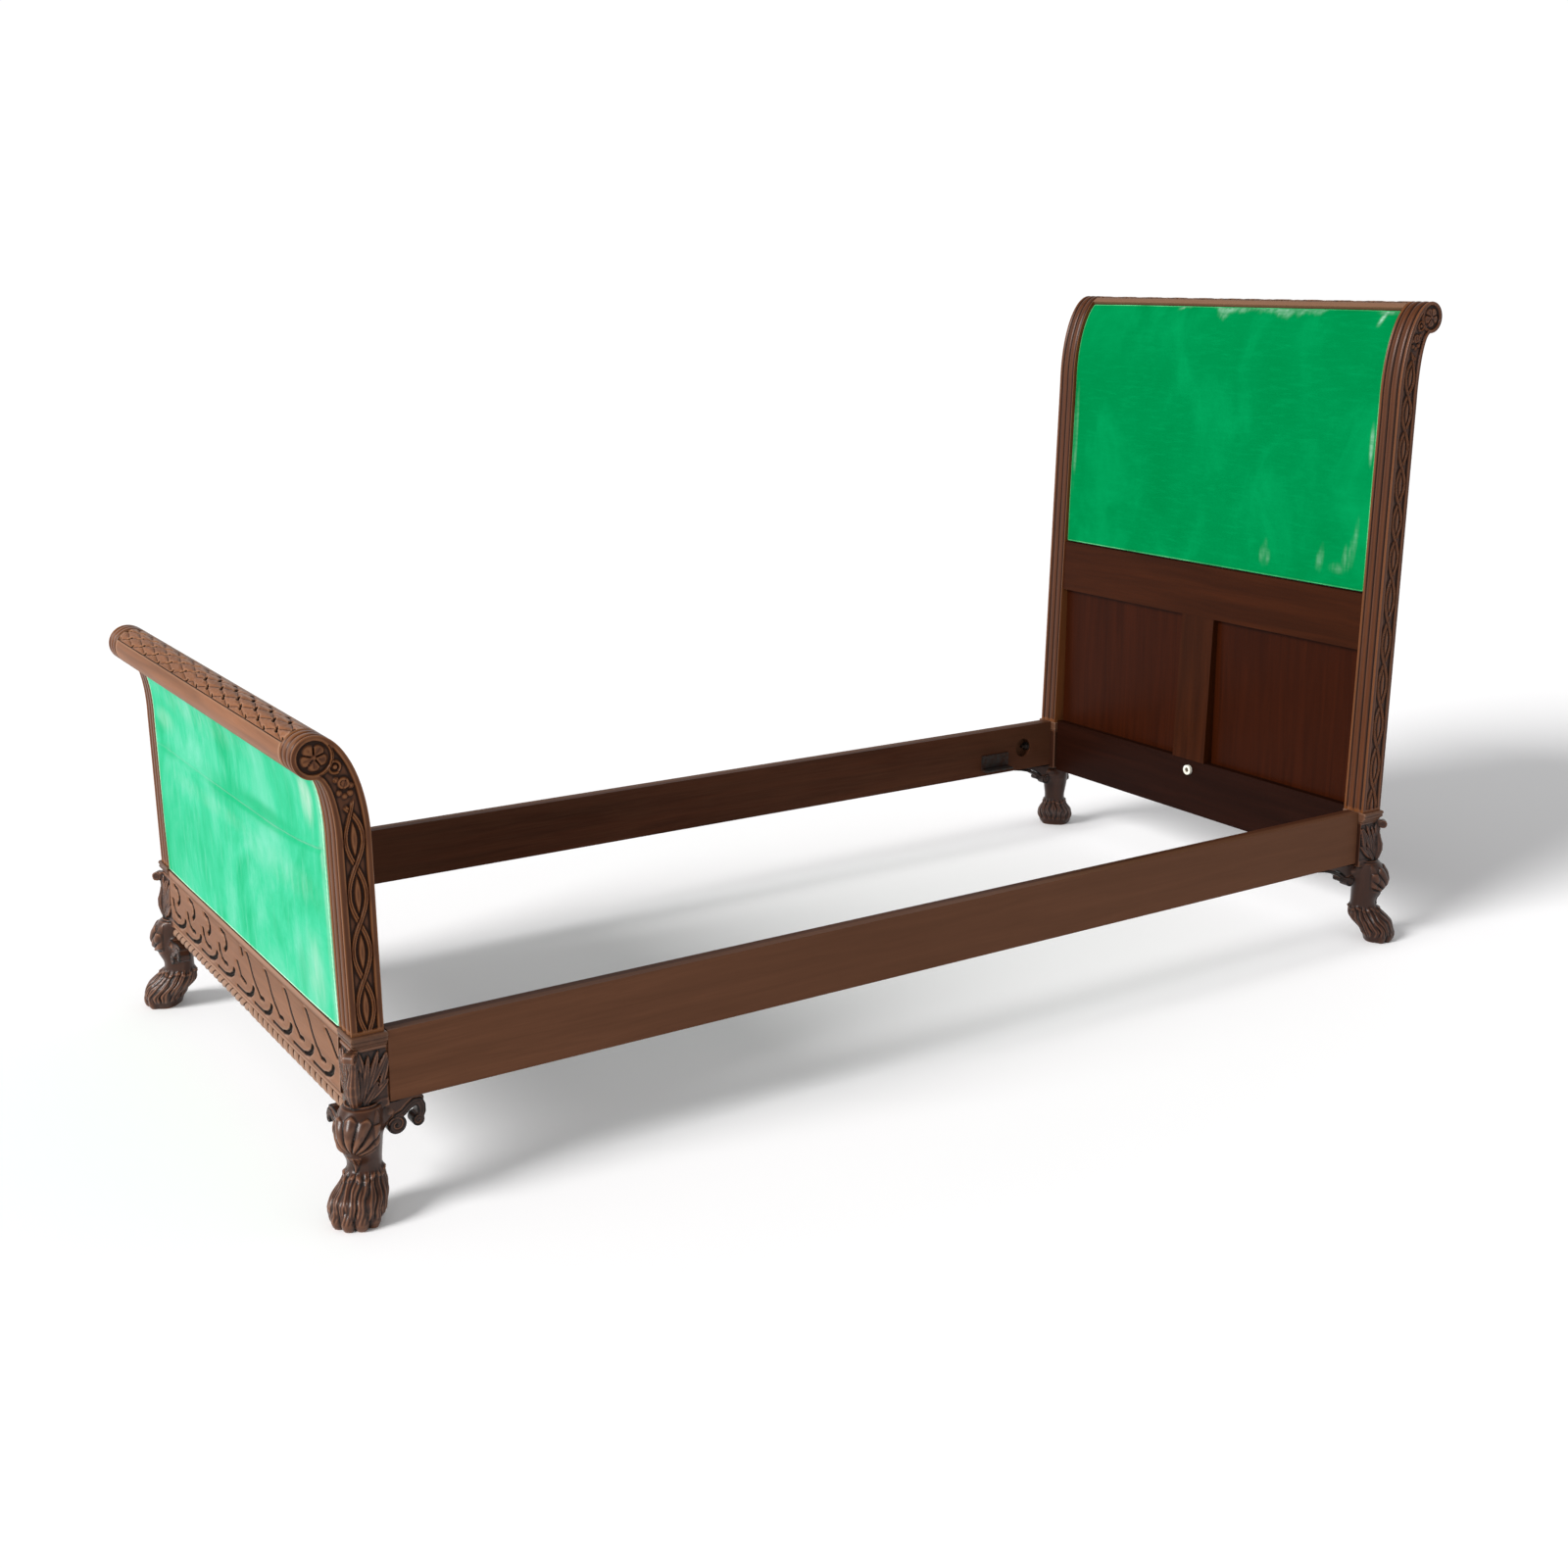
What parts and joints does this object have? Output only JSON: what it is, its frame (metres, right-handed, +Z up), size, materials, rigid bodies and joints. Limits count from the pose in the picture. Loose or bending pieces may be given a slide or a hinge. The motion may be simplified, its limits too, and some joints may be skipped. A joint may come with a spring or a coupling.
{
  "type": "sleigh bed",
  "caption": "Single sleigh bed with scrolled, velvet-panelled ends, carved stiles and frieze, cabriole legs with paw feet and plain bolted side rails.",
  "frame": {"origin": "on the floor, under the middle of the bed's overall box", "axes": "+X along the bed towards the headboard, +Y across the bed, +Z up"},
  "size_m": [2.14, 1.011, 1.2035],
  "materials": {
    "carved_wood": "waxed carved mahogany, darker in the hollows",
    "flat_wood": "satin polished mahogany",
    "rail_wood": "dull waxed mahogany, lightly scratched",
    "foot_velvet": "faded mint velvet",
    "head_velvet": "emerald velvet with worn nap",
    "foot_gimp": "flat woven braid",
    "head_gimp": "flat woven braid",
    "iron": "dull black iron",
    "brass": "tarnished",
    "white_disc": "worn white"
  },
  "bodies": {
    "root": {"foot_leg_near": "carved_wood", "foot_leg_far": "carved_wood", "foot_ear_brackets": "carved_wood", "foot_stile_near": "carved_wood", "foot_stile_far": "carved_wood", "foot_crest_rail": "carved_wood", "foot_back_panel": "flat_wood", "foot_velvet_panel": "foot_velvet", "foot_gimp": "foot_gimp", "foot_frieze_rail": "carved_wood", "foot_ledge_caps": "carved_wood", "foot_gadroon": "carved_wood", "head_leg_near": "carved_wood", "head_leg_far": "carved_wood", "head_ear_brackets": "carved_wood", "head_stile_near": "carved_wood", "head_stile_far": "carved_wood", "head_crest_rail": "carved_wood", "head_back_panel": "flat_wood", "head_velvet_panel": "head_velvet", "head_gimp": "head_gimp", "head_mid_rail": "flat_wood", "head_muntin": "flat_wood", "head_panel_near": "flat_wood", "head_panel_far": "flat_wood", "head_bottom_rail": "flat_wood", "head_ledge_caps": "carved_wood", "side_rail_near": "rail_wood", "side_rail_far": "rail_wood", "bed_bolts": "iron", "bed_bolt_nuts": "iron", "bed_bolt_washers": "iron", "base_lugs": "iron", "lug_screws": "iron", "bumper_disc": "white_disc", "bumper_screw": "brass"}
  },
  "joints": []
}
